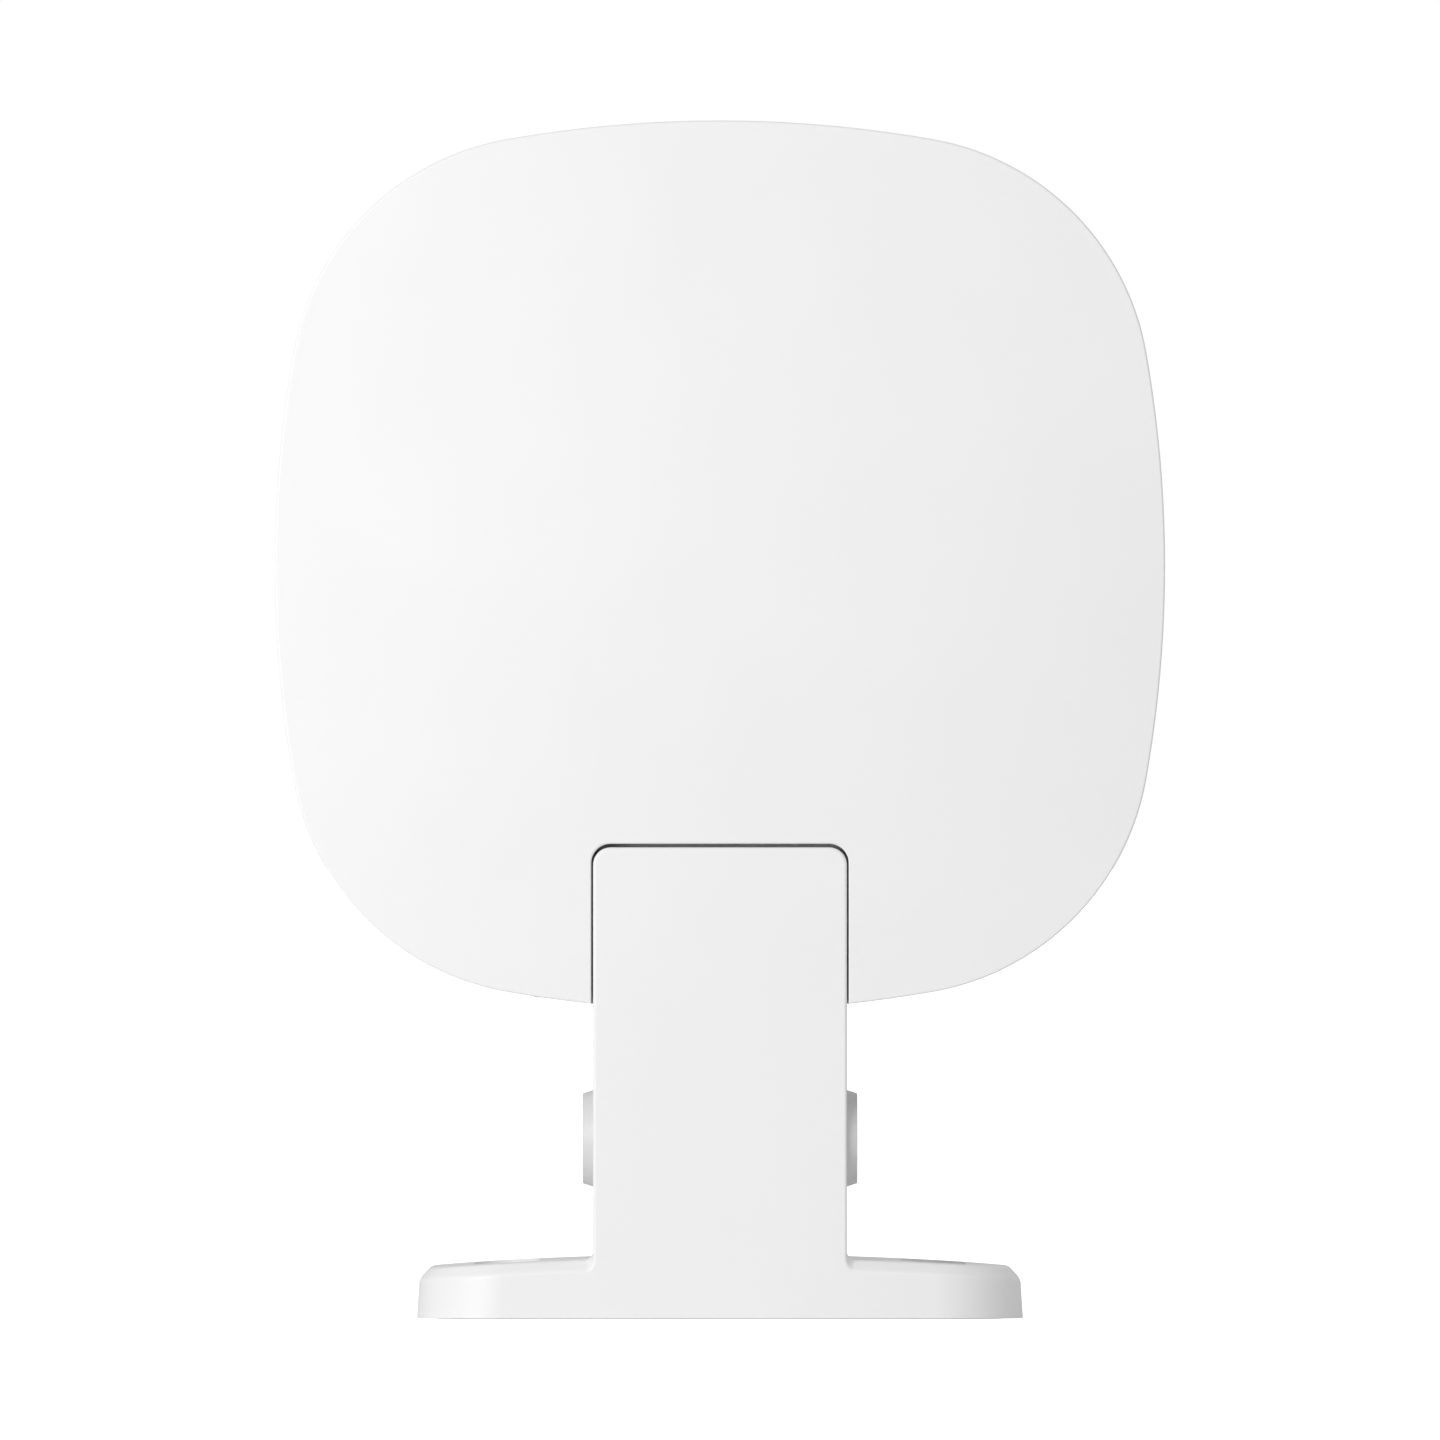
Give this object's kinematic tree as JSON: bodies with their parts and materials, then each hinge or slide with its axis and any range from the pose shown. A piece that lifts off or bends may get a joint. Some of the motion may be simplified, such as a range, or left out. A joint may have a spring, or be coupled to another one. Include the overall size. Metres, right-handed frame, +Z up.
{
  "type": "wireless router",
  "caption": "White wireless router: a flat panel with bowed sides and round corners that tilts forwards on an L-shaped stand with a crowned, slotted base.",
  "frame": {"origin": "centre of the foot pad's underside, which is the lowest face", "axes": "+Z up, +X across the panel, +Y towards the panel's plain front; the stand's upright is at the back, -Y"},
  "size_m": [0.1514, 0.072, 0.2039],
  "materials": {
    "white_shell": "fine satin moulding",
    "cap_plastic": "fine satin moulding",
    "white_cover": "fine satin moulding",
    "inner_plastic": "plain moulding",
    "pad_rubber": "soft matt silicone",
    "ballast_steel": "zinc-plated plate",
    "screw_steel": "bright zinc",
    "pivot_steel": "turned steel",
    "friction_fibre": "pressed fibre",
    "neck_alloy": "die-cast and painted pale grey",
    "gasket_silicone": "soft silicone",
    "chassis_aluminium": "rolled sheet",
    "board_green": "solder resist over glass fibre",
    "can_tinplate": "tinplate",
    "chip_black": "moulded epoxy",
    "thermal_pad": "soft thermal pad",
    "antenna_brass": "stamped and gold-flashed",
    "contact_gold": "gold-flashed",
    "spacer_nylon": "natural nylon",
    "connector_black": "moulded nylon",
    "socket_steel": "drawn steel",
    "button_grey": "fine satin moulding",
    "led_white": "clear resin",
    "pipe_clear": "clear acrylic"
  },
  "bodies": {
    "stand": {"stand_body": "white_shell", "base_plate": "inner_plastic", "foot_pad": "pad_rubber", "ballast_plate": "ballast_steel", "base_screws": "screw_steel", "ballast_screws": "screw_steel", "pivot_bolt": "pivot_steel", "pivot_nut": "pivot_steel", "spring_washers": "pivot_steel", "friction_washers": "friction_fibre", "pivot_cap_left": "cap_plastic", "pivot_cap_right": "cap_plastic"},
    "panel": {"neck": "neck_alloy", "neck_screws": "screw_steel", "rear_cover": "white_cover", "front_cover": "white_cover", "seam_gasket": "gasket_silicone", "chassis_plate": "chassis_aluminium", "chassis_screws": "screw_steel", "main_board": "board_green", "board_screws": "screw_steel", "shield_cans": "can_tinplate", "radio_chips": "chip_black", "thermal_pads": "thermal_pad", "wifi_antennas": "antenna_brass", "antenna_board": "board_green", "antenna_patches": "antenna_brass", "antenna_spacers": "spacer_nylon", "board_connector": "connector_black", "ethernet_jack": "connector_black", "jack_contacts": "contact_gold", "power_socket": "socket_steel", "button_switch": "connector_black", "status_led": "led_white", "light_pipe": "pipe_clear"},
    "button": {"pairing_button": "button_grey"}
  },
  "joints": [
    {"name": "panel_tilt", "type": "hinge", "parent": "stand", "child": "panel", "pos_m": [0, -0.0265, 0.0307], "axis": [-1, 0, 0], "range_deg": [0, 30]},
    {"name": "button_press", "type": "slide", "parent": "panel", "child": "button", "axis": [0, 0, 1], "range_m": [0, 0.0006], "stiffness_N_per_m": 2000, "springref_m": -0.0003}
  ]
}
